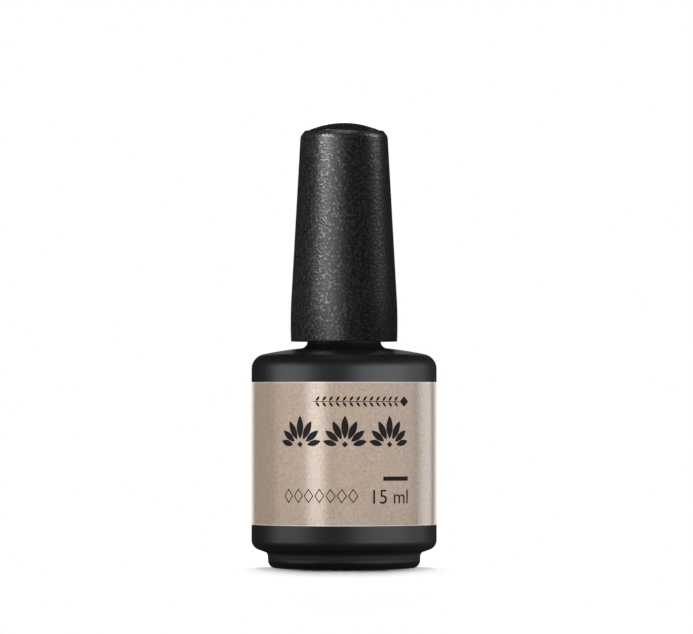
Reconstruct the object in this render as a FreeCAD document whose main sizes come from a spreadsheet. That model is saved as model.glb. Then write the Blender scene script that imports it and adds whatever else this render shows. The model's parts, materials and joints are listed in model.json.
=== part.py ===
import FreeCAD, Part

import math
import os
import re

import Sketcher
from FreeCAD import Rotation, Vector

# Nail polish bottle: a round glass bottle with a wrap label, and a tall tapered screw cap that
# carries the brush. Sizes are in millimetres and degrees. The origin is the centre of the circle
# that the foot stands on, and +Z runs up the axis of the bottle and cap.

SIZES = {
    # Glass bottle, outside, from the foot up.
    "recess_radius": 9.2,
    "recess_height": 0.7,
    "ring_inner_radius": 10.3,
    "foot_radius": 13.5,
    "foot_top_radius": 13.63,
    "foot_height": 2.71,
    "body_radius": 16.5,
    "heel_height": 3.75,
    "shoulder_height": 37.8,
    "shoulder_crown": 75.0,
    "collar_radius": 6.53,
    "neck_base_height": 39.35,
    "collar_height": 42.0,
    "collar_slope": 0.5,
    "neck_radius": 5.7,
    "rim_height": 51.0,
    # Glass bottle, inside, from the rim down.
    "bore_radius": 3.8,
    "inner_neck_height": 37.3,
    "inner_radius": 13.6,
    "inner_shoulder_height": 35.7,
    "floor_edge_height": 5.8,
    "floor_centre_height": 6.2,
    # Rounded corners of the glass.
    "recess_round": 0.5,
    "ring_round": 0.6,
    "foot_round": 1.4,
    "foot_top_round": 0.7,
    "heel_round": 1.7,
    "shoulder_round": 2.6,
    "neck_base_round": 1.2,
    "collar_round": 0.3,
    "rim_round": 0.6,
    "inner_neck_round": 2.0,
    "inner_shoulder_round": 2.0,
    "floor_round": 2.2,
    # Screw thread, twelve turns to the inch, on the neck and inside the inner cap.
    "thread_pitch": 2.117,
    "neck_thread_crest": 6.4,
    "neck_thread_half_width": 0.72,
    "neck_thread_start": 44.3,
    "neck_thread_turns": 2.0,
    "cap_thread_crest": 6.5,
    "cap_thread_half_width": 0.6,
    "cap_thread_turns": 1.5,
    "thread_bite": 0.2,
    # Wrap label and base sticker.
    "label_thickness": 0.08,
    "label_bottom": 7.79,
    "label_top": 33.13,
    "label_gap_angle": 3.0,
    "sticker_radius": 8.2,
    "sticker_thickness": 0.1,
    # Mixing balls on the floor of the bottle.
    "ball_radius": 2.0,
    "ball_path_radius": 11.2,
    "ball_gap": 0.06,
    "ball_bearing": 250.0,
    "ball_spacing_angle": 21.5,
    # Seal washer between the rim and the brush flange.
    "washer_radius": 6.1,
    "washer_hole_radius": 2.0,
    "washer_thickness": 0.98,
    "seal_gap": 0.02,
    "play": 0.05,
    # Brush stem.
    "flange_radius": 5.6,
    "flange_thickness": 0.8,
    "stem_radius": 1.75,
    "stem_tip_radius": 1.5,
    "stem_tip_height": 20.5,
    "tuft_hole_radius": 1.15,
    "tuft_hole_depth": 3.1,
    "head_radius": 1.85,
    "snap_radius": 2.1,
    "snap_gap": 0.15,
    "snap_height": 0.45,
    "head_tip_radius": 1.5,
    "head_tip_height": 0.9,
    # Bristle tuft, a flat brush with a rounded end, and the metal anchor that it is folded over.
    "tuft_root_radius": 1.1,
    "tuft_belly_width": 1.9,
    "tuft_belly_depth": 1.2,
    "tuft_belly_height": 14.5,
    "tuft_shoulder_width": 1.7,
    "tuft_shoulder_depth": 0.9,
    "tuft_shoulder_height": 11.75,
    "tuft_end_width": 1.0,
    "tuft_end_depth": 0.5,
    "tuft_end_height": 10.45,
    "tuft_top_gap": 0.2,
    "anchor_half_width": 1.05,
    "anchor_thickness": 0.4,
    "anchor_bottom": 21.7,
    "anchor_height": 1.1,
    "anchor_gap": 0.03,
    # Inner cap.
    "inner_cap_bottom": 41.3,
    "inner_cap_bore": 7.15,
    "inner_cap_mouth_radius": 8.15,
    "inner_cap_top_radius": 7.75,
    "ceiling_thickness": 1.2,
    "head_hole_radius": 1.9,
    "spline_count": 24,
    "spline_width": 0.5,
    "spline_depth": 0.15,
    "spline_margin": 1.2,
    # Outer sleeve of the cap, from its mouth up.
    "sleeve_bottom": 40.36,
    "sleeve_mouth_radius": 9.48,
    "sleeve_belly_crown": 80.0,
    "sleeve_taper_radius": 9.414,
    "sleeve_taper_height": 48.1,
    "sleeve_top_radius": 7.74,
    "sleeve_top": 77.92,
    "sleeve_mouth_bore": 8.38,
    "sleeve_step_bore": 7.98,
    "sleeve_step_gap": 0.2,
    "sleeve_hollow_radius": 7.6,
    "sleeve_ledge_bore": 6.55,
    "sleeve_ledge_height": 76.9,
    "sleeve_recess_radius": 7.13,
    "sleeve_mouth_round": 0.15,
    "sleeve_top_round": 0.55,
    "rib_count": 6,
    "rib_width": 0.8,
    "rib_inner_radius": 6.0,
    "rib_root_radius": 8.3,
    "rib_top": 70.0,
    "rib_top_root_radius": 7.4,
    # Domed insert that closes the top of the sleeve.
    "insert_radius": 7.09,
    "insert_gap": 0.05,
    "dome_radius": 16.0,
    "cap_top": 79.6,
    "insert_skirt_radius": 6.45,
    "insert_skirt_bore": 5.5,
    "insert_skirt_bottom": 74.2,
    "insert_ceiling": 77.0,
}

# Heights that follow from the stack of pieces on the rim of the neck.
FLANGE_BOTTOM = "(rim_height + seal_gap + washer_thickness + play)"
FLANGE_TOP = f"({FLANGE_BOTTOM} + flange_thickness)"
CEILING_BOTTOM = f"({FLANGE_TOP} + play)"
INNER_CAP_TOP = f"({CEILING_BOTTOM} + ceiling_thickness)"
SLEEVE_STEP = f"({INNER_CAP_TOP} + sleeve_step_gap)"
TUFT_HOLE_TOP = "(stem_tip_height + tuft_hole_depth)"

FULL_TURN = 360

doc = FreeCAD.newDocument("nail_polish_bottle")
sheet = doc.addObject("Spreadsheet::Sheet", "Dims")


def fill_sheet():
    for row, (name, size) in enumerate(SIZES.items(), start=1):
        sheet.set(f"A{row}", name)
        sheet.set(f"B{row}", str(size))
        sheet.setAlias(f"B{row}", name)
    doc.recompute()


def on_sheet(formula):
    # A formula names cells by alias alone; functions such as sqrt( keep their names.
    return re.sub(r"\b([a-z][a-z_]*)\b(?!\()", r"Dims.\1", formula)


def value(formula):
    return float(sheet.evalExpression(on_sheet(formula)))


def bind(item, path, formula):
    item.setExpression(path, on_sheet(formula))


def new_body(label):
    body = doc.addObject("PartDesign::Body", label)
    body.Label = label
    return body


def origin_item(body, role):
    return next(item for item in body.Origin.OriginFeatures if item.Role == role)


def arc_between(start, end, radius):
    # The arc bulges to the right of the way from start to end, which is out of the outline.
    chord = end - start
    sagitta = radius - math.sqrt(radius ** 2 - (chord.Length / 2) ** 2)
    outward = Vector(chord.y, -chord.x, 0).normalize()
    middle = (start + end) * 0.5 + outward * sagitta
    return Part.Arc(start, middle, end)


def add_side(sketch, start, end, radius):
    # One side of an outline. Returns which of its ends, 1 or 2, is at start and which at end.
    if radius is None:
        sketch.addGeometry(Part.LineSegment(start, end), False)
        return 1, 2
    side = sketch.addGeometry(arc_between(start, end, value(radius)), False)
    index = sketch.addConstraint(Sketcher.Constraint("Radius", side, value(radius)))
    bind(sketch, f"Constraints[{index}]", radius)
    if sketch.getPoint(side, 1).isEqual(start, 1e-6):
        return 1, 2
    return 2, 1


def place_end(sketch, side, end, across, up):
    # Ties one end of a side to its place, given as two formulas.
    for kind, axis, formula in (("DistanceX", -2, across), ("DistanceY", -1, up)):
        if value(formula) == 0:
            sketch.addConstraint(Sketcher.Constraint("PointOnObject", side, end, axis))
            continue
        distance = Sketcher.Constraint(kind, -1, 1, side, end, value(formula))
        index = sketch.addConstraint(distance)
        bind(sketch, f"Constraints[{index}]", formula)


def outline(body, name, corners, arcs=None, plane="XZ_Plane"):
    # A closed outline, anticlockwise. corners are pairs of formulas; arcs maps a side's number to
    # its radius formula, and every other side is straight.
    sketch = body.newObject("Sketcher::SketchObject", name)
    sketch.AttachmentSupport = [(origin_item(body, plane), "")]
    sketch.MapMode = "FlatFace"
    points = [Vector(value(across), value(up), 0) for across, up in corners]
    ends = []
    for index, start in enumerate(points):
        end = points[(index + 1) % len(points)]
        ends.append(add_side(sketch, start, end, (arcs or {}).get(index)))
    for index, (first, last) in enumerate(ends):
        following = (index + 1) % len(points)
        joint = Sketcher.Constraint("Coincident", index, last, following, ends[following][0])
        sketch.addConstraint(joint)
    for index, (across, up) in enumerate(corners):
        place_end(sketch, index, ends[index][0], across, up)
    doc.recompute()
    if not sketch.FullyConstrained:
        raise RuntimeError(f"{body.Label}: {name} is not fully constrained")
    return sketch


def revolve(body, sketch, angle=None):
    turned = body.newObject("PartDesign::Revolution", "Turned")
    turned.Profile = sketch
    turned.ReferenceAxis = (sketch, ["V_Axis"])
    turned.Angle = FULL_TURN
    if angle:
        bind(turned, "Angle", angle)
    doc.recompute()
    return turned


def round_corner(body, corner, radius):
    # Rounds the circular edge that one corner of a turned outline makes.
    across, up = (value(formula) for formula in corner)
    base = body.Tip
    names = []
    for number, edge in enumerate(base.Shape.Edges, start=1):
        if not isinstance(edge.Curve, Part.Circle):
            continue
        same_radius = math.isclose(edge.Curve.Radius, across, abs_tol=1e-4)
        if same_radius and math.isclose(edge.Curve.Center.z, up, abs_tol=1e-4):
            names.append(f"Edge{number}")
    if not names:
        raise RuntimeError(f"{body.Label}: no edge at radius {across}, height {up}")
    fillet = body.newObject("PartDesign::Fillet", f"Round_{radius}")
    fillet.Base = (base, names)
    bind(fillet, "Radius", radius)
    doc.recompute()


def thread(body, root, crest, half_width, start, turns):
    # A rounded ridge wound round the axis; root lies inside the wall that carries it.
    rise = f"abs({crest} - {root})"
    arc_radius = f"({half_width}^2 + {rise}^2) / (2 * {rise})"
    corners = [(root, f"{start} + {half_width}"), (root, f"{start} - {half_width}")]
    if value(crest) < value(root):
        corners.reverse()
    sketch = outline(body, "ThreadProfile", corners, {1: arc_radius})
    ridge = body.newObject("PartDesign::AdditiveHelix", "Thread")
    ridge.Profile = sketch
    ridge.ReferenceAxis = (sketch, ["V_Axis"])
    ridge.Mode = "pitch-turns-angle"
    bind(ridge, "Pitch", "thread_pitch")
    bind(ridge, "Turns", turns)
    doc.recompute()


def pad_across(body, sketch, name, width):
    pad = body.newObject("PartDesign::Pad", name)
    pad.Profile = sketch
    pad.Midplane = True
    bind(pad, "Length", width)
    doc.recompute()
    return pad


def repeat_round(body, feature, count):
    pattern = body.newObject("PartDesign::PolarPattern", "Repeat")
    pattern.Originals = [feature]
    pattern.Axis = (origin_item(body, "Z_Axis"), [""])
    pattern.Angle = FULL_TURN
    bind(pattern, "Occurrences", count)
    body.Tip = pattern
    doc.recompute()


def glass_bottle():
    body = new_body("glass_bottle")
    recess_edge = ("recess_radius", "recess_height")
    ring_inner = ("ring_inner_radius", "0")
    foot_bottom = ("foot_radius", "0")
    foot_top = ("foot_top_radius", "foot_height")
    heel = ("body_radius", "heel_height")
    shoulder = ("body_radius", "shoulder_height")
    neck_base = ("collar_radius", "neck_base_height")
    collar_top = ("collar_radius", "collar_height")
    neck_root = ("neck_radius", "collar_height + collar_slope")
    rim_outer = ("neck_radius", "rim_height")
    rim_inner = ("bore_radius", "rim_height")
    bore_end = ("bore_radius", "inner_neck_height")
    inner_shoulder = ("inner_radius", "inner_shoulder_height")
    floor_edge = ("inner_radius", "floor_edge_height")
    corners = [
        ("0", "recess_height"),
        recess_edge,
        ring_inner,
        foot_bottom,
        foot_top,
        heel,
        shoulder,
        neck_base,
        collar_top,
        neck_root,
        rim_outer,
        rim_inner,
        bore_end,
        inner_shoulder,
        floor_edge,
        ("0", "floor_centre_height"),
    ]
    crown = {corners.index(shoulder): "shoulder_crown"}
    revolve(body, outline(body, "WallProfile", corners, crown))
    round_corner(body, recess_edge, "recess_round")
    round_corner(body, ring_inner, "ring_round")
    round_corner(body, foot_bottom, "foot_round")
    round_corner(body, foot_top, "foot_top_round")
    round_corner(body, heel, "heel_round")
    round_corner(body, shoulder, "shoulder_round")
    round_corner(body, neck_base, "neck_base_round")
    round_corner(body, collar_top, "collar_round")
    round_corner(body, rim_outer, "rim_round")
    round_corner(body, rim_inner, "rim_round")
    round_corner(body, bore_end, "inner_neck_round")
    round_corner(body, inner_shoulder, "inner_shoulder_round")
    round_corner(body, floor_edge, "floor_round")
    thread(
        body,
        root="(neck_radius - thread_bite)",
        crest="neck_thread_crest",
        half_width="neck_thread_half_width",
        start="neck_thread_start",
        turns="neck_thread_turns",
    )
    return body


def wrap_label():
    # A thin film round the straight side of the bottle, with its two ends a little apart behind.
    body = new_body("wrap_label")
    outer = "body_radius + label_thickness"
    corners = [
        ("body_radius", "label_bottom"),
        (outer, "label_bottom"),
        (outer, "label_top"),
        ("body_radius", "label_top"),
    ]
    film = outline(body, "FilmProfile", corners)
    revolve(body, film, f"{FULL_TURN} - label_gap_angle")
    body.Placement.Rotation = Rotation(Vector(0, 0, 1), 90)
    bind(body, "Placement.Rotation.Angle", "90 + label_gap_angle / 2")
    return body


def base_sticker():
    # A round sticker inside the recess under the foot.
    disc = doc.addObject("Part::Cylinder", "base_sticker")
    bind(disc, "Radius", "sticker_radius")
    bind(disc, "Height", "sticker_thickness")
    bind(disc, "Placement.Base.z", "recess_height - sticker_thickness")
    return disc


def mixing_balls():
    # Two loose steel balls side by side in the rounded corner of the floor.
    floor_rise = "(floor_centre_height - floor_edge_height)"
    floor_height = f"(floor_centre_height - {floor_rise} * ball_path_radius / inner_radius)"
    balls = []
    for index in range(2):
        bearing = f"(ball_bearing + {index} * ball_spacing_angle)"
        ball = doc.addObject("Part::Sphere", f"Ball{index}")
        bind(ball, "Radius", "ball_radius")
        bind(ball, "Placement.Base.x", f"ball_path_radius * cos({bearing})")
        bind(ball, "Placement.Base.y", f"ball_path_radius * sin({bearing})")
        bind(ball, "Placement.Base.z", f"{floor_height} + ball_radius + ball_gap")
        balls.append(ball)
    group = doc.addObject("Part::Compound", "mixing_balls")
    group.Links = balls
    return group


def seal_washer():
    disc = doc.addObject("Part::Cylinder", "WasherDisc")
    bind(disc, "Radius", "washer_radius")
    bind(disc, "Height", "washer_thickness")
    hole = doc.addObject("Part::Cylinder", "WasherHole")
    bind(hole, "Radius", "washer_hole_radius")
    bind(hole, "Height", "washer_thickness")
    washer = doc.addObject("Part::Cut", "seal_washer")
    washer.Base = disc
    washer.Tool = hole
    bind(washer, "Placement.Base.z", "rim_height + seal_gap")
    return washer


def brush_stem():
    # The stem hangs from a flange on the washer. Its head snaps up through the inner cap.
    body = new_body("brush_stem")
    snap_bottom = f"{INNER_CAP_TOP} + snap_gap"
    snap_top = f"{snap_bottom} + snap_height"
    head_top = f"{snap_top} + head_tip_height"
    corners = [
        ("0", TUFT_HOLE_TOP),
        ("tuft_hole_radius", TUFT_HOLE_TOP),
        ("tuft_hole_radius", "stem_tip_height"),
        ("stem_tip_radius", "stem_tip_height"),
        ("stem_radius", FLANGE_BOTTOM),
        ("flange_radius", FLANGE_BOTTOM),
        ("flange_radius", FLANGE_TOP),
        ("head_radius", FLANGE_TOP),
        ("head_radius", snap_bottom),
        ("snap_radius", snap_bottom),
        ("snap_radius", snap_top),
        ("head_tip_radius", head_top),
        ("0", head_top),
    ]
    revolve(body, outline(body, "StemProfile", corners))
    return body


def anchor_block(name, gap):
    # The anchor's own shape, or with a gap the slot that clears it.
    block = doc.addObject("Part::Box", name)
    bind(block, "Length", f"2 * (anchor_half_width + {gap})")
    bind(block, "Width", f"anchor_thickness + 2 * {gap}")
    bind(block, "Height", f"anchor_height + 2 * {gap}")
    bind(block, "Placement.Base.x", f"-(anchor_half_width + {gap})")
    bind(block, "Placement.Base.y", f"-(anchor_thickness / 2 + {gap})")
    bind(block, "Placement.Base.z", f"anchor_bottom - {gap}")
    return block


def tuft_anchor():
    # The flat metal strip, across the tuft hole, that holds the folded bristles in.
    return anchor_block("tuft_anchor", "0")


def bristle_tuft():
    # The outer shape of the whole tuft, with a slot through its fold for the anchor.
    sections = [
        ("tuft_root_radius", "tuft_root_radius", f"{TUFT_HOLE_TOP} - tuft_top_gap"),
        ("tuft_root_radius", "tuft_root_radius", "stem_tip_height"),
        ("tuft_belly_width", "tuft_belly_depth", "tuft_belly_height"),
        ("tuft_shoulder_width", "tuft_shoulder_depth", "tuft_shoulder_height"),
        ("tuft_end_width", "tuft_end_depth", "tuft_end_height"),
    ]
    ellipses = []
    for index, (half_width, half_depth, height) in enumerate(sections):
        ellipse = doc.addObject("Part::Ellipse", f"TuftSection{index}")
        bind(ellipse, "MajorRadius", half_width)
        bind(ellipse, "MinorRadius", half_depth)
        bind(ellipse, "Placement.Base.z", height)
        ellipses.append(ellipse)
    bundle = doc.addObject("Part::Loft", "TuftBundle")
    bundle.Sections = ellipses
    bundle.Solid = True
    bundle.Ruled = True
    tuft = doc.addObject("Part::Cut", "bristle_tuft")
    tuft.Base = bundle
    tuft.Tool = anchor_block("AnchorSlot", "anchor_gap")
    return tuft


def inner_cap():
    body = new_body("inner_cap")
    corners = [
        ("inner_cap_bore", "inner_cap_bottom"),
        ("inner_cap_mouth_radius", "inner_cap_bottom"),
        ("inner_cap_top_radius", INNER_CAP_TOP),
        ("head_hole_radius", INNER_CAP_TOP),
        ("head_hole_radius", CEILING_BOTTOM),
        ("inner_cap_bore", CEILING_BOTTOM),
    ]
    revolve(body, outline(body, "ShellProfile", corners))
    thread(
        body,
        root="(inner_cap_bore + thread_bite)",
        crest="cap_thread_crest",
        half_width="cap_thread_half_width",
        start="(neck_thread_start - thread_pitch / 2)",
        turns="cap_thread_turns",
    )
    add_splines(body)
    return body


def add_splines(body):
    # Fine upright ridges on the outside, which grip the sleeve.
    low = "(inner_cap_bottom + spline_margin)"
    high = f"({INNER_CAP_TOP} - spline_margin)"
    taper = "(inner_cap_mouth_radius - inner_cap_top_radius)"
    climb = f"({INNER_CAP_TOP} - inner_cap_bottom)"
    low_wall = f"inner_cap_mouth_radius - {taper} * ({low} - inner_cap_bottom) / {climb}"
    high_wall = f"inner_cap_mouth_radius - {taper} * ({high} - inner_cap_bottom) / {climb}"
    corners = [
        (f"{low_wall} - thread_bite", low),
        (f"{low_wall} + spline_depth", low),
        (f"{high_wall} + spline_depth", high),
        (f"{high_wall} - thread_bite", high),
    ]
    ridge = pad_across(body, outline(body, "SplineProfile", corners), "Spline", "spline_width")
    repeat_round(body, ridge, "spline_count")


def outer_sleeve():
    body = new_body("outer_sleeve")
    mouth = ("sleeve_mouth_radius", "sleeve_bottom")
    top_edge = ("sleeve_top_radius", "sleeve_top")
    corners = [
        ("sleeve_mouth_bore", "sleeve_bottom"),
        mouth,
        ("sleeve_taper_radius", "sleeve_taper_height"),
        top_edge,
        ("sleeve_recess_radius", "sleeve_top"),
        ("sleeve_recess_radius", "sleeve_ledge_height"),
        ("sleeve_ledge_bore", "sleeve_ledge_height"),
        ("sleeve_hollow_radius", SLEEVE_STEP),
        ("sleeve_step_bore", SLEEVE_STEP),
    ]
    belly = {corners.index(mouth): "sleeve_belly_crown"}
    revolve(body, outline(body, "SleeveProfile", corners, belly))
    round_corner(body, mouth, "sleeve_mouth_round")
    round_corner(body, top_edge, "sleeve_top_round")
    rib_corners = [
        ("rib_inner_radius", SLEEVE_STEP),
        ("rib_root_radius", SLEEVE_STEP),
        ("rib_top_root_radius", "rib_top"),
        ("rib_inner_radius", "rib_top"),
    ]
    rib = pad_across(body, outline(body, "RibProfile", rib_corners), "Rib", "rib_width")
    repeat_round(body, rib, "rib_count")
    return body


def top_insert():
    # The domed disc that closes the sleeve, with a skirt that plugs into it.
    body = new_body("top_insert")
    rim_drop = "(dome_radius - sqrt(dome_radius^2 - insert_radius^2))"
    rim = ("insert_radius", f"cap_top - {rim_drop}")
    disc_bottom = "sleeve_ledge_height + insert_gap"
    corners = [
        ("insert_radius", disc_bottom),
        rim,
        ("0", "cap_top"),
        ("0", "insert_ceiling"),
        ("insert_skirt_bore", "insert_ceiling"),
        ("insert_skirt_bore", "insert_skirt_bottom"),
        ("insert_skirt_radius", "insert_skirt_bottom"),
        ("insert_skirt_radius", disc_bottom),
    ]
    dome = {corners.index(rim): "dome_radius"}
    revolve(body, outline(body, "InsertProfile", corners, dome))
    return body


def check_document(subparts):
    doc.recompute()
    for item in doc.Objects:
        if "Invalid" in item.State or "Error" in item.State:
            raise RuntimeError(f"{item.Label} did not compute: {item.State}")
    for part in subparts:
        if part.Shape.isNull() or not part.Shape.isValid():
            raise RuntimeError(f"{part.Label} has no valid shape")


def export(subparts):
    os.makedirs("parts", exist_ok=True)
    for part in subparts:
        part.Shape.exportStep(os.path.join("parts", f"{part.Label}.step"))
        print(f"{part.Label}: {len(part.Shape.Solids)} solid(s), {part.Shape.Volume:.2f} mm3")


fill_sheet()
parts = [
    glass_bottle(),
    wrap_label(),
    base_sticker(),
    mixing_balls(),
    seal_washer(),
    brush_stem(),
    tuft_anchor(),
    bristle_tuft(),
    inner_cap(),
    outer_sleeve(),
    top_insert(),
]
check_document(parts)
export(parts)
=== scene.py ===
import json
import math
import random

import bmesh
import bpy
from mathutils import Matrix, Vector

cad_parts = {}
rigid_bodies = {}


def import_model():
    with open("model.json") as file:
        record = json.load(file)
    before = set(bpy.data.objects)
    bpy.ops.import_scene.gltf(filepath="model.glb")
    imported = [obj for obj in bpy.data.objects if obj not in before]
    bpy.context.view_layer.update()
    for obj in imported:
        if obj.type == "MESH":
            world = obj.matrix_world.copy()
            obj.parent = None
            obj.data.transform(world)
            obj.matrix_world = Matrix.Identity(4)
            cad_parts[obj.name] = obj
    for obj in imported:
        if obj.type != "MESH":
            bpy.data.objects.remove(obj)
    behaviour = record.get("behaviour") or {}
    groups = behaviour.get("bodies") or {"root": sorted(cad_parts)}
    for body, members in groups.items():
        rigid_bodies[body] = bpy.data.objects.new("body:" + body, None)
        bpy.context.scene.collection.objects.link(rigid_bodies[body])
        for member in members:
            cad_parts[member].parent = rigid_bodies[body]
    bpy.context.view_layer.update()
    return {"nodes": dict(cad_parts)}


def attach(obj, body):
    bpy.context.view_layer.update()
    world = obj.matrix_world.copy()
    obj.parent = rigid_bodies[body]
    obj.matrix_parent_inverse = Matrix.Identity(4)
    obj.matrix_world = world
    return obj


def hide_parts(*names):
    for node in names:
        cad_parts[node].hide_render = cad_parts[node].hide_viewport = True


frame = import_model()
mm = 0.001
spinSteps = 192  # facets in a full turn of the larger pieces
print("frame loaded")


# --- shader maths ---

class Wire:  # one socket of a finish, so that shader maths reads as an expression
    def __init__(self, finish, socket):
        self.finish = finish
        self.socket = socket

    def maths(self, operation, first, second):
        return self.finish.node("ShaderNodeMath", {"operation": operation}, {0: first, 1: second})

    def __add__(self, other):
        return self.maths("ADD", self, other)

    __radd__ = __add__

    def __sub__(self, other):
        return self.maths("SUBTRACT", self, other)

    def __rsub__(self, other):
        return self.maths("SUBTRACT", other, self)

    def __mul__(self, other):
        return self.maths("MULTIPLY", self, other)

    __rmul__ = __mul__

    def __truediv__(self, other):
        return self.maths("DIVIDE", self, other)

    def __gt__(self, other):
        return self.maths("GREATER_THAN", self, other)

    def __lt__(self, other):
        return self.maths("LESS_THAN", self, other)


class Finish:  # one material and its nodes
    def __init__(self, name):
        self.material = bpy.data.materials.new(name)
        self.material.use_nodes = True
        self.tree = self.material.node_tree
        self.tree.nodes.clear()
        self.output = self.tree.nodes.new("ShaderNodeOutputMaterial")

    def node(self, kind, settings=None, inputs=None, output=0):
        made = self.tree.nodes.new(kind)
        for setting, value in (settings or {}).items():
            if setting == "stops":
                self.setStops(made.color_ramp, value)
            else:
                setattr(made, setting, value)
        for place, value in (inputs or {}).items():
            if isinstance(value, Wire):
                self.tree.links.new(value.socket, made.inputs[place])
            else:
                made.inputs[place].default_value = value
        return Wire(self, made.outputs[output])

    def setStops(self, ramp, stops):
        while len(ramp.elements) < len(stops):
            ramp.elements.new(0.5)
        for element, (position, colour) in zip(ramp.elements, stops):
            element.position = position
            element.color = colour

    def place(self):
        return self.node("ShaderNodeTexCoord", output="Object")

    def parts(self):  # x, y and z of a point on the piece
        point = self.place()
        split = self.node("ShaderNodeSeparateXYZ", inputs={0: point})
        return [Wire(self, output) for output in split.socket.node.outputs]

    def noise(self, grain, detail=2.0, roughness=0.5):  # grain is in metres
        inputs = {"Scale": 1 / grain, "Detail": detail, "Roughness": roughness, "Vector": self.place()}
        return self.node("ShaderNodeTexNoise", inputs=inputs, output="Fac")

    def cells(self, grain, output="Color"):
        inputs = {"Scale": 1 / grain, "Vector": self.place()}
        return self.node("ShaderNodeTexVoronoi", inputs=inputs, output=output)

    def squareRoot(self, square):
        return self.node("ShaderNodeMath", {"operation": "SQRT"}, {0: square})

    def ramp(self, factor, *stops):  # stops are (position, grey)
        greys = [(position, (grey, grey, grey, 1)) for position, grey in stops]
        return self.node("ShaderNodeValToRGB", {"stops": greys}, {0: factor})

    def below(self, full, gone):  # 1 up to the first height in millimetres, 0 from the second
        span = 5
        return self.ramp(self.parts()[2] / mm / span, (full / span, 1.0), (gone / span, 0.0))

    def mix(self, factor, first, second):  # a colour Mix node has its own sockets: 6 and 7 in, 2 out
        return self.node("ShaderNodeMix", {"data_type": "RGBA"}, {0: factor, 6: first, 7: second}, output=2)

    def bump(self, height, depth, strength=1.0):
        return self.node("ShaderNodeBump", inputs={"Strength": strength, "Distance": depth, "Height": height})

    def surface(self, **inputs):
        named = {name.replace("_", " "): value for name, value in inputs.items()}
        shader = self.node("ShaderNodeBsdfPrincipled", inputs=named, output="BSDF")
        self.tree.links.new(shader.socket, self.output.inputs["Surface"])
        return self.material


def rgb(red, green, blue):  # linear colour with full alpha
    return (red, green, blue, 1)


# --- mesh tools ---

def smooth(share):  # eases a share of 0 to 1 in and out
    return share * share * (3 - 2 * share)


def roundCorners(bm, corners, verts, segments):
    for index, (radius, height, rounding) in enumerate(corners):
        if not rounding:
            continue
        here = Vector((radius, 0, height))
        before = corners[index - 1]
        after = corners[(index + 1) % len(corners)]
        toBefore = Vector((before[0], 0, before[1])) - here
        toAfter = Vector((after[0], 0, after[1])) - here
        reach = rounding / math.tan(toBefore.angle(toAfter) / 2)
        bmesh.ops.bevel(bm, geom=[verts[index]], offset=reach * mm, offset_type="OFFSET", segments=segments,
                        profile=0.5, affect="VERTICES", material=-1)


def bulgeSide(bm, start, end, radius, cuts):
    # The straight stretch between two corners swells outwards into an arc of that radius.
    middle = (start + end) / 2
    side = min(bm.edges, key=lambda edge: ((edge.verts[0].co + edge.verts[1].co) / 2 - middle).length)
    ends = [vert.co.copy() for vert in side.verts]
    chord = ends[1] - ends[0]
    outward = Vector((chord.z, 0, -chord.x)).normalized()
    if outward.dot(Vector((end.z - start.z, 0, start.x - end.x))) < 0:
        outward.negate()
    half = chord.length / 2
    cut = bmesh.ops.subdivide_edges(bm, edges=[side], cuts=cuts)
    inner = [item for item in cut["geom_inner"] if isinstance(item, bmesh.types.BMVert)]
    for vert in inner:
        along = (vert.co - ends[0]).length - half
        vert.co += outward * (math.sqrt(radius ** 2 - along ** 2) - math.sqrt(radius ** 2 - half ** 2))


def turned(corners, closed=False, bulges=None, sweep=360, steps=spinSteps, segments=6):
    # Spins an outline of (radius, height, rounding), in millimetres, about the axis. A stretch of it that
    # swells is in bulges, under the number of its first corner, with its radius and number of cuts.
    bm = bmesh.new()
    verts = [bm.verts.new((radius * mm, 0, height * mm)) for radius, height, _ in corners]
    for first, second in zip(verts, verts[1:]):
        bm.edges.new((first, second))
    if closed:
        bm.edges.new((verts[-1], verts[0]))
    places = [vert.co.copy() for vert in verts]
    roundCorners(bm, corners, verts, segments)
    for index, (radius, cuts) in (bulges or {}).items():
        bulgeSide(bm, places[index], places[(index + 1) % len(places)], radius * mm, cuts)
    outline = bm.verts[:] + bm.edges[:]
    full = sweep == 360
    bmesh.ops.spin(bm, geom=outline, cent=(0, 0, 0), axis=(0, 0, 1), angle=math.radians(sweep), steps=steps,
                   use_merge=full, use_duplicate=False)
    bmesh.ops.remove_doubles(bm, verts=bm.verts[:], dist=1e-7)
    if not full:
        openEdges = [edge for edge in bm.edges if len(edge.link_faces) == 1]
        bmesh.ops.holes_fill(bm, edges=openEdges, sides=0)
    bmesh.ops.recalc_face_normals(bm, faces=bm.faces[:])
    return bm


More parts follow.
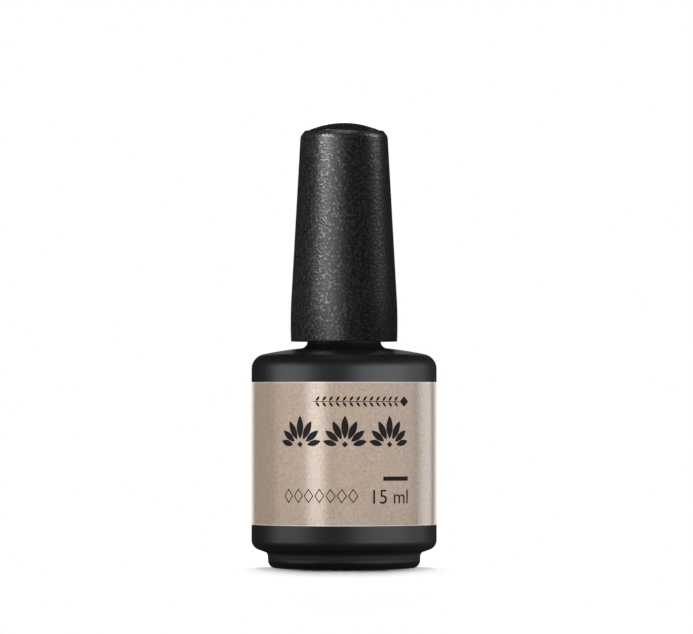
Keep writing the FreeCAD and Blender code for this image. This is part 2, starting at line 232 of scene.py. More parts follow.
def threadRidge(thread):
    # A rounded ridge swept up the axis, whose two ends sink into the wall.
    stepsInTurn = 96
    leastDepth = 0.05  # share of the ridge that is left at its very ends, so that they stay open loops
    bm = bmesh.new()
    ring = bmesh.ops.create_circle(bm, cap_ends=False, segments=20, radius=1)["verts"]
    height = abs(thread["crest"] - thread["root"]) * mm
    bmesh.ops.scale(bm, verts=ring, vec=(height, thread["halfWidth"] * mm, 1))
    bmesh.ops.rotate(bm, verts=ring, cent=(0, 0, 0), matrix=Matrix.Rotation(math.pi / 2, 3, "X"))
    bmesh.ops.translate(bm, verts=ring, vec=(thread["root"] * mm, 0, thread["start"] * mm))
    steps = int(thread["turns"] * stepsInTurn)
    rise = thread["pitch"] * thread["turns"] * mm / steps
    bmesh.ops.spin(bm, geom=bm.verts[:] + bm.edges[:], cent=(0, 0, 0), axis=(0, 0, 1), dvec=(0, 0, rise),
                   angle=math.tau * thread["turns"], steps=steps, use_merge=False, use_duplicate=False)
    sunk = thread["sunk"] * mm
    for vert in bm.verts:
        turn = math.atan2(vert.co.y, vert.co.x) / math.tau
        turn += round((vert.co.z / mm - thread["start"]) / thread["pitch"] - turn)
        fromEnd = min(turn, thread["turns"] - turn) / thread["fade"]
        fade = smooth(min(max(fromEnd, 0), 1)) * (1 - leastDepth) + leastDepth
        flat = Vector((vert.co.x, vert.co.y, 0))
        depth = (flat.length - sunk) * fade + sunk
        vert.co += flat.normalized() * (depth - flat.length)
    openEdges = [edge for edge in bm.edges if len(edge.link_faces) == 1]
    bmesh.ops.holes_fill(bm, edges=openEdges, sides=0)
    bmesh.ops.recalc_face_normals(bm, faces=bm.faces[:])
    if bm.calc_volume(signed=True) < 0:
        bmesh.ops.reverse_faces(bm, faces=bm.faces[:])
    return bm


def cutLevel(bm, height):
    everything = bm.verts[:] + bm.edges[:] + bm.faces[:]
    bmesh.ops.bisect_plane(bm, geom=everything, plane_co=(0, 0, height * mm), plane_no=(0, 0, 1), dist=1e-8)


def outwardness(face):  # above 0 where a face looks away from the axis
    middle = face.calc_center_median()
    return face.normal.dot(Vector((middle.x, middle.y, 0)))


def extrudeColumns(bm, columns, reach, wanted):
    # Pushes evenly spaced columns of wall out to a radius, as ribs or splines.
    cutLevel(bm, columns["low"])
    cutLevel(bm, columns["high"])
    count = columns["count"]
    pitch = spinSteps // count
    ribs = [[] for _ in range(count)]
    for face in bm.faces:
        middle = face.calc_center_median()
        column = int((math.atan2(middle.y, middle.x) % math.tau) / math.tau * spinSteps)
        level = columns["low"] * mm < middle.z < columns["high"] * mm
        if column % pitch < columns["width"] and level and wanted(face):
            ribs[column // pitch].append(face)
    for chosen in ribs:
        made = bmesh.ops.extrude_face_region(bm, geom=chosen)["geom"]
        bmesh.ops.delete(bm, geom=chosen, context="FACES")
        for vert in made:
            if isinstance(vert, bmesh.types.BMVert):
                flat = Vector((vert.co.x, vert.co.y, 0))
                vert.co += flat.normalized() * (reach(vert.co.z / mm) * mm - flat.length)
    bmesh.ops.recalc_face_normals(bm, faces=bm.faces[:])


def linked(name, data):
    made = bpy.data.objects.new(name, data)
    bpy.context.scene.collection.objects.link(made)
    return made


def piece(bm, name, finish, body, replaced=None, sharp=30):
    mesh = bpy.data.meshes.new(name)
    bm.to_mesh(mesh)
    bm.free()
    return pieceFromMesh(mesh, name, finish, body, replaced, sharp)


def pieceFromMesh(mesh, name, finish, body, replaced=None, sharp=30):
    mesh.shade_smooth()
    mesh.set_sharp_from_angle(angle=math.radians(sharp))
    mesh.materials.clear()
    mesh.materials.append(finish)
    made = linked(name, mesh)
    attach(made, body)
    if replaced:
        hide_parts(replaced)
    return made


def joined(body, tool):
    # The union of two closed shells, as one mesh.
    objects = []
    for bm in (body, tool):
        mesh = bpy.data.meshes.new("union")
        bm.to_mesh(mesh)
        bm.free()
        objects.append(linked("union", mesh))
    union = objects[0].modifiers.new("union", "BOOLEAN")
    union.operation = "UNION"
    union.solver = "EXACT"
    union.object = objects[1]
    depsgraph = bpy.context.evaluated_depsgraph_get()
    mesh = bpy.data.meshes.new_from_object(objects[0].evaluated_get(depsgraph))
    for made in objects:
        bpy.data.objects.remove(made)
    return mesh


# --- glass bottle ---

bottle = {
    "outline": [  # radius, height and rounding, from the middle of the base to the middle of the floor inside
        (0, 0.7, 0), (9.2, 0.7, 0.5), (10.3, 0, 0.6), (13.5, 0, 1.4), (13.63, 2.71, 0.7), (16.5, 3.75, 1.7),
        (16.5, 37.8, 2.6), (6.53, 39.35, 1.2), (6.53, 42, 0.3), (5.7, 42.5, 0.2), (5.7, 51, 0.6),
        (3.8, 51, 0.6), (3.8, 37.3, 2), (13.6, 35.7, 2), (13.6, 5.8, 2.2), (0, 6.2, 0),
    ],
    "crown": {6: (75, 16)},  # the shoulder's slight swell: radius and cuts
    "thread": {"root": 5.62, "crest": 6.4, "halfWidth": 0.72, "start": 44.3, "turns": 2.0, "pitch": 2.117,
               "fade": 0.28, "sunk": 5.2},
    "footDullingAndPaintedShade": (2.75, 3.5),  # the foot is duller, and darkened with painted shade, up to the first height, and neither from the second
    "brightBend": (1.2, 1.7),
}


def lacquerFinish():
    # Black satin lacquer over the glass, with a faint unevenness in its sheen.
    lacquer = Finish("blackLacquer")
    cloud = lacquer.noise(0.005, detail=3)
    fine = lacquer.noise(0.00045, detail=3, roughness=0.65)
    colour = lacquer.mix(cloud, rgb(0.0085, 0.0083, 0.0088), rgb(0.0125, 0.0120, 0.0126))
    foot = lacquer.below(*bottle["footDullingAndPaintedShade"])  # rougher from standing and sliding, and darker in colour as painted shade
    # painted shade: the foot's colour is pulled towards near black
    colour = lacquer.mix(foot * 0.6, colour, rgb(0.0035, 0.0034, 0.0034))
    bend = lacquer.below(*bottle["brightBend"])  # the lowest bend of the foot is shinier again
    roughness = 0.36 + cloud * 0.06 + fine * 0.03 + foot * 0.36 - bend * 0.45
    normal = lacquer.bump(fine, 0.000006, 0.5)
    return lacquer.surface(Base_Color=colour, Roughness=roughness, Normal=normal)


def makeBottle():
    shell = turned(bottle["outline"], bulges=bottle["crown"])
    mesh = joined(shell, threadRidge(bottle["thread"]))
    return pieceFromMesh(mesh, "bottleGlass", lacquerFinish(), "bottle", "glass_bottle")


makeBottle()
print("bottle made")


# --- wrap label and its print ---

label = {
    "radius": 16.5,
    "thickness": 0.05,
    "low": 7.79,
    "high": 33.13,
    "gapAngle": 3,
    "edgeRounding": 0.02,
    "edgeHighlight": 0.17,  # a painted highlight, a paler band along the top and bottom edges of the film
    "rightMargin": 12.3,  # how far round to the right the print reaches
    "inkLift": 0.004,
    "inkThickness": 0.014,
    "printReach": 14,  # how far round on each side the print is cut into strips
    "strip": 0.5,  # widest flat facet of print before it is bent round
}

artwork = {  # millimetres round from the middle of the front, or back from the right margin, and up
    "sprig": {"left": -5.6, "fromRight": 1.9, "height": 29.69, "halfLine": 0.06, "pairs": 13,
              "leans": (38, 142), "stalk": 0.5, "bareEnds": 1.6,
              "leafStart": 0.12, "leafLength": 1.05, "leafWidth": 0.42},
    "sprigEnd": {"fromRight": 0.85, "size": 0.95},
    "lotus": {"count": 3, "fromRight": 3.95, "spacing": 8.2, "low": 21.7, "lean": 25,
              "leafStart": 1.5, "leafLength": 3.95, "shorter": 0.5, "leafWidth": 1.3, "slimmer": 0.08,
              "seedUp": 0.45, "seed": 0.55},
    "bar": {"fromRight": 5.2, "low": 15.75, "high": 16.5},
    "lozenges": {"count": 7, "left": -10.4, "spacing": 2.0, "height": 13.1,
                 "wide": 1.8, "tall": 2.6, "line": 0.16},
    "volume": {"words": "15 ml", "size": 3.55, "low": 11.75},
}


def labelFinish():
    # Champagne pearl film with a fine shimmering grain, and a painted highlight along its top and bottom
    # edges.
    film = Finish("pearlFilm")
    fine = film.noise(0.00038, detail=2, roughness=0.6)
    broad = film.noise(0.0010, detail=2, roughness=0.6)
    spark = film.node("ShaderNodeSeparateColor", inputs={0: film.cells(0.00028)})
    z = film.parts()[2]
    speckle = (fine - 0.5) * 1.1 + (broad - 0.5) * 0.35
    shade = film.ramp(speckle + 0.5, (0.22, 0.0), (0.78, 1.0))
    colour = film.mix(shade, rgb(0.405, 0.294, 0.212), rgb(0.615, 0.464, 0.345))
    glint = film.ramp(spark, (0.92, 0.0), (0.99, 1.0))
    colour = film.mix(glint * 0.2, colour, rgb(0.80, 0.72, 0.63))
    # painted highlight: the top and bottom edges are paler, standing in for the light that the cut edges
    # catch
    low = z < (label["low"] + label["edgeHighlight"]) * mm
    high = z > (label["high"] - label["edgeHighlight"]) * mm
    colour = film.mix((low + high) * 0.75, colour, rgb(0.85, 0.80, 0.74))
    roughness = 0.30 + shade * 0.05
    normal = film.bump(fine, 0.000006, 0.5)
    return film.surface(Base_Color=colour, Metallic=0.06, Roughness=roughness, Normal=normal,
                        Specular_IOR_Level=1.0, Coat_Weight=0.7, Coat_Roughness=0.2)


def makeLabel():
    outer = label["radius"] + label["thickness"]
    rounding = label["edgeRounding"]
    inner = label["radius"] + 0.001
    corners = [(inner, label["low"], 0), (outer, label["low"], rounding), (outer, label["high"], rounding),
               (inner, label["high"], 0)]
    film = turned(corners, closed=True, sweep=360 - label["gapAngle"], steps=238, segments=3)
    seam = math.radians(90 + label["gapAngle"] / 2)
    bmesh.ops.rotate(film, verts=film.verts[:], cent=(0, 0, 0), matrix=Matrix.Rotation(seam, 3, "Z"))
    return piece(film, "labelFilm", labelFinish(), "bottle", "wrap_label")


def inkFinish():
    ink = Finish("blackInk")
    grain = ink.noise(0.0002, detail=2)
    colour = ink.mix(grain, rgb(0.010, 0.009, 0.009), rgb(0.017, 0.015, 0.015))
    return ink.surface(Base_Color=colour, Roughness=0.5 + grain * 0.1, Specular_IOR_Level=0.15)


def leaf(ink, base, angle, start, length, width):
    # A slim pointed leaf that grows out from a base point.
    pinch = 0.45  # how much narrower its two ends are than an oval's
    verts = bmesh.ops.create_circle(ink, cap_ends=True, segments=28, radius=1)["verts"]
    for vert in verts:
        vert.co.x *= 1 - pinch * vert.co.y ** 2
    bmesh.ops.scale(ink, verts=verts, vec=(width / 2, length / 2, 1))
    bmesh.ops.translate(ink, verts=verts, vec=(0, start + length / 2, 0))
    bmesh.ops.rotate(ink, verts=verts, cent=(0, 0, 0), matrix=Matrix.Rotation(-math.radians(angle), 3, "Z"))
    bmesh.ops.translate(ink, verts=verts, vec=(base[0], base[1], 0))


def bar(ink, left, right, low, high):
    verts = bmesh.ops.create_grid(ink, x_segments=1, y_segments=1, size=0.5)["verts"]
    bmesh.ops.scale(ink, verts=verts, vec=(right - left, high - low, 1))
    bmesh.ops.translate(ink, verts=verts, vec=((left + right) / 2, (low + high) / 2, 0))


def diamond(ink, across, up, size):
    verts = bmesh.ops.create_circle(ink, cap_ends=True, segments=4, radius=size)["verts"]
    bmesh.ops.translate(ink, verts=verts, vec=(across, up, 0))


def volumeMark(ink, words, size, right, low):
    curve = bpy.data.curves.new("volumeMark", "FONT")
    curve.body = words
    curve.size = size
    curve.resolution_u = 6
    made = linked("volumeMark", curve)
    depsgraph = bpy.context.evaluated_depsgraph_get()
    mesh = bpy.data.meshes.new_from_object(made.evaluated_get(depsgraph))
    bpy.data.objects.remove(made)
    edge = max(vert.co.x for vert in mesh.vertices)
    mesh.transform(Matrix.Translation((right - edge, low, 0)))
    ink.from_mesh(mesh)
    bpy.data.meshes.remove(mesh)


def wrapPrint(ink):
    # Cuts the flat print into upright strips, bends it round the film and gives it thickness.
    bmesh.ops.remove_doubles(ink, verts=ink.verts[:], dist=1e-4)
    reach = label["printReach"]
    cuts = int(2 * reach / label["strip"])
    for cut in range(cuts + 1):
        across = -reach + cut * label["strip"]
        everything = ink.verts[:] + ink.edges[:] + ink.faces[:]
        bmesh.ops.bisect_plane(ink, geom=everything, plane_co=(across, 0, 0), plane_no=(1, 0, 0), dist=1e-5)
    radius = label["radius"] + label["thickness"] + label["inkLift"]
    for vert in ink.verts:
        turn = vert.co.x / radius
        vert.co = Vector((math.sin(turn) * radius, -math.cos(turn) * radius, vert.co.y)) * mm
    ink.normal_update()
    for face in ink.faces:
        if outwardness(face) < 0:
            face.normal_flip()
    bmesh.ops.solidify(ink, geom=ink.faces[:], thickness=-label["inkThickness"] * mm)
    bmesh.ops.recalc_face_normals(ink, faces=ink.faces[:])


def sprig(ink):
    # A thin stem with small leaves in pairs, which ends in a diamond.
    shape = artwork["sprig"]
    left = shape["left"]
    right = label["rightMargin"] - shape["fromRight"]
    height = shape["height"]
    bar(ink, left, right, height - shape["halfLine"], height + shape["halfLine"])
    for pair in range(shape["pairs"]):
        base = left + shape["stalk"] + pair * (right - left - shape["bareEnds"]) / (shape["pairs"] - 1)
        for lean in shape["leans"]:
            leaf(ink, (base, height), lean, shape["leafStart"], shape["leafLength"], shape["leafWidth"])
    end = artwork["sprigEnd"]
    diamond(ink, label["rightMargin"] - end["fromRight"], height, end["size"])


def lozenge(ink, across, up, width, height, line):
    # An open diamond of thin lines.
    verts = bmesh.ops.create_circle(ink, cap_ends=True, segments=4, radius=1)["verts"]
    bmesh.ops.scale(ink, verts=verts, vec=(width / 2, height / 2, 1))
    bmesh.ops.translate(ink, verts=verts, vec=(across, up, 0))
    face = verts[0].link_faces[0]
    bmesh.ops.inset_individual(ink, faces=[face], thickness=line, use_even_offset=True)
    bmesh.ops.delete(ink, geom=[face], context="FACES")


def lotus(ink, across):
    # Seven leaves that open like a flower, the middle one longest, over a small diamond.
    shape = artwork["lotus"]
    for step in range(-3, 4):
        length = shape["leafLength"] - shape["shorter"] * abs(step)
        width = shape["leafWidth"] - shape["slimmer"] * abs(step)
        leaf(ink, (across, shape["low"]), step * shape["lean"], shape["leafStart"], length, width)
    diamond(ink, across, shape["low"] + shape["seedUp"], shape["seed"])


def makePrint():
    right = label["rightMargin"]
    ink = bmesh.new()
    sprig(ink)
    flowers = artwork["lotus"]
    for flower in range(flowers["count"]):
        lotus(ink, right - flowers["fromRight"] - flower * flowers["spacing"])
    line = artwork["bar"]
    bar(ink, right - line["fromRight"], right, line["low"], line["high"])
    row = artwork["lozenges"]
    for link in range(row["count"]):
        across = row["left"] + link * row["spacing"]
        lozenge(ink, across, row["height"], row["wide"], row["tall"], row["line"])
    volume = artwork["volume"]
    volumeMark(ink, volume["words"], volume["size"], right, volume["low"])
    wrapPrint(ink)
    return piece(ink, "labelPrint", inkFinish(), "bottle", sharp=40)


makeLabel()
makePrint()
print("label made")


# --- cap: outer sleeve, domed insert and inner cap ---

sleeve = {
    "outline": [
        (8.38, 40.36, 0.1), (9.48, 40.36, 0.15), (9.414, 48.1, 0), (7.79, 76.95, 1.2),
        (7.13, 77.84, 0.04), (7.13, 76.9, 0.05), (6.55, 76.9, 0.05), (7.6, 54.3, 0.1), (7.98, 54.3, 0.1),
    ],
    "belly": {1: (80, 12)},  # the slight swell above the mouth
    "ribs": {"count": 6, "width": 4, "radius": 6.0, "low": 54.4, "high": 70.0},
}


def sleeveFinish():
    # Black plastic with a fine spark-eroded grain, whose crests catch the light.
    grained = Finish("grainedBlack")
    fine = grained.noise(0.00046, detail=1.0, roughness=0.5)
    coarse = grained.noise(0.0012, detail=2)
    crest = grained.ramp(fine, (0.50, 0.0), (0.70, 1.0))
    glint = grained.ramp(fine, (0.49, 0.0), (0.62, 1.0))
    colour = grained.mix(crest, rgb(0.0060, 0.0059, 0.0060), rgb(0.150, 0.148, 0.145))
    roughness = 0.30 + coarse * 0.10
    normal = grained.bump(fine, 0.00008, 0.5)
    return grained.surface(Base_Color=colour, Metallic=glint * 0.9, Roughness=roughness, Normal=normal,
                           Specular_IOR_Level=0.7)


def makeSleeve():
    shell = turned(sleeve["outline"], closed=True, bulges=sleeve["belly"])
    ribs = sleeve["ribs"]
    extrudeColumns(shell, ribs, lambda height: ribs["radius"], lambda face: outwardness(face) < 0)
    return piece(shell, "capSleeve", sleeveFinish(), "cap", "outer_sleeve")


insert = {
    "outline": [  # from the middle of the ceiling round to the top of the dome
        (0, 77, 0), (5.5, 77, 0.2), (5.5, 74.2, 0.15), (6.45, 74.2, 0.2), (6.45, 76.95, 0.1),
        (7.09, 76.95, 0.08), (7.09, 77.943, 0.06), (0, 79.6, 0),
    ],
    "dome": {6: (16, 24)},
}


def domeFinish():
    # Polished black plastic with the faintest ripple and a little dust-fine variation.
    polished = Finish("polishedBlack")
    ripple = polished.noise(0.0035, detail=1)
    haze = polished.noise(0.0009, detail=3)
    colour = polished.mix(haze, rgb(0.0045, 0.0045, 0.0048), rgb(0.0070, 0.0070, 0.0072))
    normal = polished.bump(ripple, 0.00002, 0.25)
    return polished.surface(Base_Color=colour, Roughness=0.09 + haze * 0.05, Normal=normal)


def makeInsert():
    dome = turned(insert["outline"], bulges=insert["dome"])
    return piece(dome, "capDome", domeFinish(), "cap", "top_insert")


innerCap = {
    "outline": [
        (7.15, 41.3, 0.2), (8.15, 41.3, 0.15), (7.75, 54.1, 0.25), (1.9, 54.1, 0.1), (1.9, 52.9, 0.1),
        (7.15, 52.9, 0.3),
    ],
    "splines": {"count": 24, "width": 2, "low": 42.5, "high": 52.9, "proud": 0.15},
    "wallFrom": 7.5,  # faces further out than this are the outside of the wall
    "thread": {"root": 7.15, "crest": 6.5, "halfWidth": 0.6, "start": 43.2415, "turns": 1.5, "pitch": 2.117,
               "fade": 0.1, "sunk": 7.5},
}


def mouldedFinish(name, dark, light, roughness):
    # Plain moulded plastic, with a soft mottle and the finest pitting.
    moulded = Finish(name)
    mottle = moulded.noise(0.0025, detail=3)
    pits = moulded.noise(0.00022, detail=2)
    colour = moulded.mix(mottle, dark, light)
    normal = moulded.bump(pits, 0.00001, 0.4)
    return moulded.surface(Base_Color=colour, Roughness=roughness + mottle * 0.08, Normal=normal)


def makeInnerCap():
    shell = turned(innerCap["outline"], closed=True)
    (lowRadius, lowHeight, _), (highRadius, highHeight, _) = innerCap["outline"][1:3]

    def splineReach(height):
        taper = (lowRadius - highRadius) / (highHeight - lowHeight)
        return lowRadius - taper * (height - lowHeight) + innerCap["splines"]["proud"]

    def outerWall(face):
        middle = face.calc_center_median()
        return outwardness(face) > 0 and math.hypot(middle.x, middle.y) > innerCap["wallFrom"] * mm

    extrudeColumns(shell, innerCap["splines"], splineReach, outerWall)
    mesh = joined(shell, threadRidge(innerCap["thread"]))
    black = mouldedFinish("mouldedBlack", rgb(0.010, 0.010, 0.010), rgb(0.016, 0.016, 0.016), 0.38)
    return pieceFromMesh(mesh, "innerCap", black, "cap", "inner_cap")


makeSleeve()
makeInsert()
makeInnerCap()
print("cap made")


# --- brush: stem, anchor and bristles, and the seal washer ---

stem = {
    "outline": [
        (0, 23.6, 0), (1.15, 23.6, 0.1), (1.15, 20.5, 0.06), (1.5, 20.5, 0.12), (1.75, 52.05, 0.3),
        (5.6, 52.05, 0.15), (5.6, 52.85, 0.15), (1.85, 52.85, 0), (1.85, 54.25, 0), (2.1, 54.25, 0.06),
        (2.1, 54.7, 0.08), (1.5, 55.6, 0.15), (0, 55.6, 0),
    ],
}

washer = {
    "outline": [(2, 51.02, 0.12), (6.1, 51.02, 0.15), (6.1, 52, 0.15), (2, 52, 0.12)],
}

tuft = {
    "bristles": 340,
    "thickness": 0.055,
    "rootRadius": 0.98,
    "rootHeight": 22.9,
    "holeHeight": 20.5,
    "bellyHeight": 14.5,
    "bellyWidth": 1.78,
    "bellyDepth": 1.08,
    "endWidth": 1.45,
    "endDepth": 0.75,
    "tipHeight": 10.55,
    "tipRise": 1.5,  # how much shorter the outermost bristles are, for the rounded end
    "tipJitter": 0.45,
    "tipTaper": 0.35,
    "turnJitter": 0.2,
    "wander": 0.06,  # how far a tip strays to a side
    "stations": 9,
    "seed": 7,
    "soakedHeight": 17.9,  # the polish reaches up to about here
    "raggedEdge": 4,  # how high the band is in which the polish ends
}


def foamFinish():
    foam = Finish("whiteFoam")
    bubbles = foam.cells(0.00025, output="Distance")
    fine = foam.noise(0.00012, detail=2)
    colour = foam.mix(bubbles, rgb(0.72, 0.71, 0.68), rgb(0.86, 0.85, 0.82))
    normal = foam.bump(bubbles + fine * 0.5, 0.00003, 0.5)
    return foam.surface(Base_Color=colour, Roughness=0.62 + fine * 0.1, Normal=normal,
                        Subsurface_Weight=0.15, Subsurface_Scale=0.001)


def bristleFinish():
    # Dark nylon above, soaked in pearl polish towards the tip, with glitter in it.
    nylon = Finish("wetBristles")
    z = nylon.parts()[2]
    ragged = nylon.noise(0.0006, detail=3)
    edge = (tuft["soakedHeight"] - z / mm + (ragged - 0.5) * tuft["raggedEdge"]) * 0.5 + 0.5
    soaked = nylon.ramp(edge, (0.0, 0.0), (1.0, 1.0))
    flake = nylon.node("ShaderNodeSeparateColor", inputs={0: nylon.cells(0.00016)})
    glint = nylon.ramp(flake, (0.80, 0.0), (0.93, 1.0))
    pearl = nylon.mix(glint, rgb(0.46, 0.35, 0.26), rgb(0.88, 0.78, 0.64))
    dry = nylon.mix(ragged, rgb(0.014, 0.011, 0.010), rgb(0.030, 0.025, 0.022))
    colour = nylon.mix(soaked, dry, pearl)
    roughness = 0.42 - soaked * 0.2
    return nylon.surface(Base_Color=colour, Roughness=roughness, Metallic=soaked * 0.25,
                         Coat_Weight=soaked * 0.8, Coat_Roughness=0.08)


def makeBristle():
    # A straight bristle of many stations, thinner at its tip. Each of its points keeps its station in z.
    straight = bmesh.new()
    verts = bmesh.ops.create_circle(straight, cap_ends=True, segments=5, radius=tuft["thickness"])["verts"]
    for station in range(1, tuft["stations"]):
        face = next(face for face in verts[0].link_faces if all(vert in verts for vert in face.verts))
        made = bmesh.ops.extrude_face_region(straight, geom=[face])["geom"]
        if station > 1:  # the first face stays, and closes the root
            bmesh.ops.delete(straight, geom=[face], context="FACES_ONLY")
        verts = [item for item in made if isinstance(item, bmesh.types.BMVert)]
        bmesh.ops.translate(straight, verts=verts, vec=(0, 0, 1))
    bmesh.ops.scale(straight, verts=verts, vec=(tuft["tipTaper"], tuft["tipTaper"], 1))
    bmesh.ops.recalc_face_normals(straight, faces=straight.faces[:])
    mesh = bpy.data.meshes.new("bristle")
    straight.to_mesh(mesh)
    straight.free()
    return mesh


def makeTuft():
    random.seed(tuft["seed"])
    template = makeBristle()
    bundle = bmesh.new()
    golden = math.pi * (3 - math.sqrt(5))  # this turn from each root to the next fills the hole evenly
    for index in range(tuft["bristles"]):
        share = math.sqrt((index + 0.5) / tuft["bristles"])
        turn = index * golden + random.uniform(-tuft["turnJitter"], tuft["turnJitter"])
        tip = tuft["tipHeight"] + tuft["tipRise"] * share ** 3 + random.uniform(0, tuft["tipJitter"])
        wander = random.uniform(-tuft["wander"], tuft["wander"])
        first = len(bundle.verts)
        bundle.from_mesh(template)
        bundle.verts.ensure_lookup_table()
        for vert in bundle.verts[first:]:
            along = vert.co.z / (tuft["stations"] - 1)
            height = tuft["rootHeight"] + (tip - tuft["rootHeight"]) * along
            middle = bristlePoint(share, turn, height, wander * along)
            vert.co = middle + Vector((vert.co.x, vert.co.y, 0)) * mm
    bpy.data.meshes.remove(template)
    bmesh.ops.reverse_faces(bundle, faces=bundle.faces[:])
    return piece(bundle, "bristles", bristleFinish(), "brush", "bristle_tuft", sharp=180)


def bristlePoint(share, turn, height, wander):
    # Round in the hole, swelling to a flat belly below it, and drawn in a little at the end.
    if height > tuft["holeHeight"]:
        width = depth = tuft["rootRadius"]
    elif height > tuft["bellyHeight"]:
        swell = smooth((tuft["holeHeight"] - height) / (tuft["holeHeight"] - tuft["bellyHeight"]))
        width = tuft["rootRadius"] + (tuft["bellyWidth"] - tuft["rootRadius"]) * swell
        depth = tuft["rootRadius"] + (tuft["bellyDepth"] - tuft["rootRadius"]) * swell
    else:
        close = (tuft["bellyHeight"] - height) / (tuft["bellyHeight"] - tuft["tipHeight"])
        width = tuft["bellyWidth"] + (tuft["endWidth"] - tuft["bellyWidth"]) * close ** 2
        depth = tuft["bellyDepth"] + (tuft["endDepth"] - tuft["bellyDepth"]) * close ** 2
    return Vector((math.cos(turn) * share * width + wander, math.sin(turn) * share * depth, height)) * mm


stemPlastic = mouldedFinish("stemBlack", rgb(0.012, 0.012, 0.012), rgb(0.020, 0.019, 0.019), 0.28)
piece(turned(stem["outline"], steps=96), "brushStem", stemPlastic, "brush", "brush_stem")
piece(turned(washer["outline"], closed=True, steps=128), "foamWasher", foamFinish(), "washer",
      "seal_washer")
makeTuft()
print("brush made")


# --- finishes of the CAD nodes that stay ---

def steelFinish(name, scratch, roughness):
    steel = Finish(name)
    fine = steel.noise(scratch, detail=3)
    colour = steel.mix(fine, rgb(0.52, 0.52, 0.53), rgb(0.64, 0.64, 0.65))
    return steel.surface(Base_Color=colour, Metallic=1.0, Roughness=roughness + fine * 0.12,
                         Normal=steel.bump(fine, 0.000004, 0.5))


disc = {
    "swatch": 4.6,
    "ring": (5.6, 5.8),
}


def stickerFinish():
    # A pale disc with a round swatch of the pearl shade in its middle and a thin dark ring.
    sticker = Finish("baseSticker")
    x, y = sticker.parts()[:2]
    radius = sticker.squareRoot(x * x + y * y) / mm
    fine = sticker.noise(0.0003, detail=3)
    pearl = sticker.mix(fine, rgb(0.42, 0.33, 0.25), rgb(0.56, 0.45, 0.35))
    paper = sticker.mix(fine, rgb(0.70, 0.68, 0.64), rgb(0.78, 0.76, 0.72))
    colour = sticker.mix(radius < disc["swatch"], paper, pearl)
    ring = (radius > disc["ring"][0]) * (radius < disc["ring"][1])
    colour = sticker.mix(ring, colour, rgb(0.03, 0.03, 0.03))
    return sticker.surface(Base_Color=colour, Roughness=0.45 + fine * 0.1)


def dress(node, finish):
    mesh = frame["nodes"][node].data
    mesh.materials.clear()
    mesh.materials.append(finish)


dress("mixing_balls", steelFinish("ballSteel", 0.0008, 0.12))
dress("tuft_anchor", steelFinish("anchorSteel", 0.0002, 0.3))
dress("base_sticker", stickerFinish())
print("CAD nodes dressed")


# --- stage, light and camera ---

studio = {
    "target": 0.04475,  # the height that the camera and the lamps aim at
    "camera": (0.00043, -1.0, 0.030),
    "lens": 291.3,
    "distance": 0.6,
    "ambient": 0.035,
    "floorRadius": 0.21,
    "fadeWidth": 0.020,  # how far to each side the floor has faded away
    "fadeStart": 0.35,  # shares of the way out where the fade starts and ends
    "fadeEnd": 0.98,
    "softboxes": [
        # name, what it lights, azimuth from the front, elevation, width in degrees, height, radiance
        ("glassLeft", "glass", -68, 6, 56, 0.36, 2.8),
        ("glassMiddle", "glass", -18, 6, 38, 0.36, 0.35),
        ("glassRight", "glass", 48, 6, 72, 0.36, 3.4),
        ("glassFarRight", "glass", 102, 6, 34, 0.36, 1.2),
        ("glassBack", "glass", 180, 12, 20, 0.33, 0.5),
        ("capKey", "cap", -32, 4, 20, 0.62, 1.7),
        ("capMiddle", "cap", -14, 4, 18, 0.62, 0.9),
        ("capUpperKey", "cap", -52, 30, 16, 0.30, 20.0),
        ("capUpperRight", "cap", 93, 30, 16, 0.30, 7.5),
        ("capBack", "cap", 180, 10, 14, 0.30, 3.0),
        ("capTop", "cap", 0, 88, 28, 0.30, 2.2),
        ("glassTop", "glass", 0, 88, 28, 0.30, 0.3),
        ("labelKey", "label", -35, 4, 22, 0.62, 4.0),
        ("labelLeft", "label", -74, 4, 40, 0.62, 0.85),
        ("labelFarLeft", "label", -125, 4, 40, 0.62, 0.25),
        ("labelFront", "label", 15, 4, 50, 0.62, 0.9),
        ("labelRight", "label", 68, 4, 56, 0.62, 1.05),
        ("labelEdge", "label", 121, 4, 30, 0.62, 1.75),
        ("labelLow", "label", 0, -30, 53, 0.20, 1.3),
        ("labelBack", "label", 180, 10, 60, 0.62, 1.3),
        ("floorTop", "floor", 180, 65, 24, 0.60, 14),
        ("floorBackRight", "floor", 135, 15, 28, 0.30, 2.4),
        ("floorBackLeft", "floor", -135, 15, 28, 0.30, 2.4),
    ],
}


def softbox(receivers, name, lit, azimuth, elevation, widthAngle, height, radiance):
    width = 2 * studio["distance"] * math.tan(math.radians(widthAngle / 2))
    light = bpy.data.lights.new(name, "AREA")
    light.shape = "RECTANGLE"
    light.size = width
    light.size_y = height
    light.energy = radiance * math.pi * width * height
    made = linked(name, light)
    turn = math.radians(azimuth)
    tilt = math.radians(elevation)
    away = Vector((math.sin(turn) * math.cos(tilt), -math.cos(turn) * math.cos(tilt), math.sin(tilt)))
    made.location = Vector((0, 0, studio["target"])) + away * studio["distance"]
    made.rotation_euler = away.to_track_quat("Z", "Y").to_euler()
    made.visible_camera = False
    made.light_linking.receiver_collection = receivers[lit]


def sortReceivers():
    # The label, the glass, the cap and the floor are each lit apart, as with flags in a studio.
    kinds = {"labelFilm": "label", "labelPrint": "label", "bottleGlass": "glass", "floor": "floor"}
    groups = {name: bpy.data.collections.new(name + "Lit") for name in ("label", "glass", "cap", "floor")}
    for made in bpy.context.scene.objects:
        if made.type == "MESH":
            groups[kinds.get(made.name, "cap")].objects.link(made)
    return groups


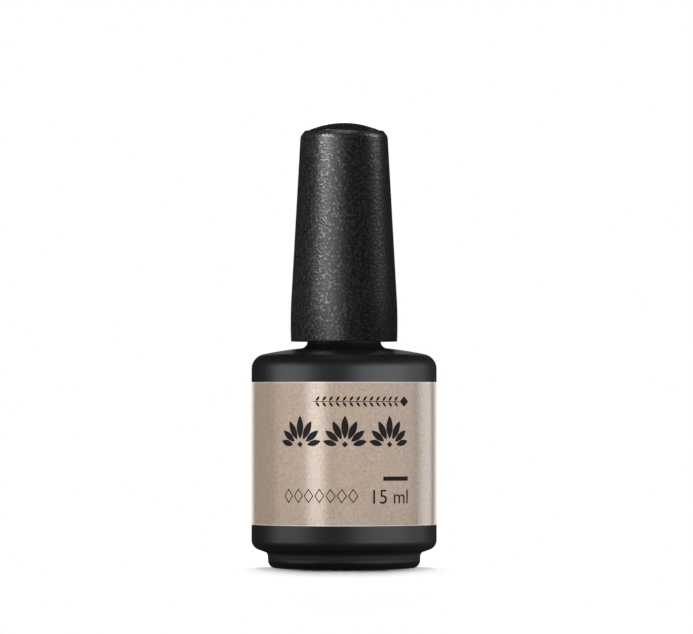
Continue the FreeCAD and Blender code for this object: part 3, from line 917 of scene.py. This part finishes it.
def makeWorld():
    world = bpy.data.worlds.new("studio")
    bpy.context.scene.world = world
    world.use_nodes = True
    nodes = world.node_tree.nodes
    links = world.node_tree.links
    nodes.clear()
    ambient = nodes.new("ShaderNodeBackground")
    ambient.inputs["Strength"].default_value = studio["ambient"]
    white = nodes.new("ShaderNodeBackground")
    ray = nodes.new("ShaderNodeLightPath")
    chosen = nodes.new("ShaderNodeMixShader")
    output = nodes.new("ShaderNodeOutputWorld")
    for background in (ambient, white):
        background.inputs["Color"].default_value = rgb(1, 1, 1)
    links.new(ray.outputs["Is Camera Ray"], chosen.inputs[0])
    links.new(ambient.outputs[0], chosen.inputs[1])
    links.new(white.outputs[0], chosen.inputs[2])
    links.new(chosen.outputs[0], output.inputs["Surface"])


def makeFloor():
    # A white sheet that fades into the white backdrop all round, sooner at the sides.
    floor = bmesh.new()
    bmesh.ops.create_circle(floor, cap_ends=True, segments=96, radius=studio["floorRadius"])
    mesh = bpy.data.meshes.new("floor")
    floor.to_mesh(mesh)
    floor.free()
    paper = Finish("whiteSweep")
    x, y = paper.parts()[:2]
    across = x / studio["fadeWidth"]
    along = y / studio["floorRadius"]
    spread = paper.squareRoot(across * across + along * along)
    fade = paper.ramp(spread, (studio["fadeStart"], 1.0), (studio["fadeEnd"], 0.0))
    mesh.materials.append(paper.surface(Base_Color=rgb(0.92, 0.92, 0.92), Roughness=0.9, Alpha=fade,
                                        Specular_IOR_Level=0.1))
    made = linked("floor", mesh)
    made.visible_glossy = False
    made.visible_diffuse = False


def makeCamera():
    camera = bpy.data.cameras.new("camera")
    camera.sensor_width = 36
    camera.lens = studio["lens"]
    camera.clip_end = 20
    made = linked("camera", camera)
    made.location = studio["camera"]
    lift = studio["target"] - made.location.z
    made.rotation_euler = (math.pi / 2 + math.atan(lift / -made.location.y), 0, 0)
    bpy.context.scene.camera = made


makeWorld()
makeFloor()
receivers = sortReceivers()
for box in studio["softboxes"]:
    softbox(receivers, *box)
makeCamera()
bpy.context.scene.view_settings.view_transform = "Standard"
print("studio made")
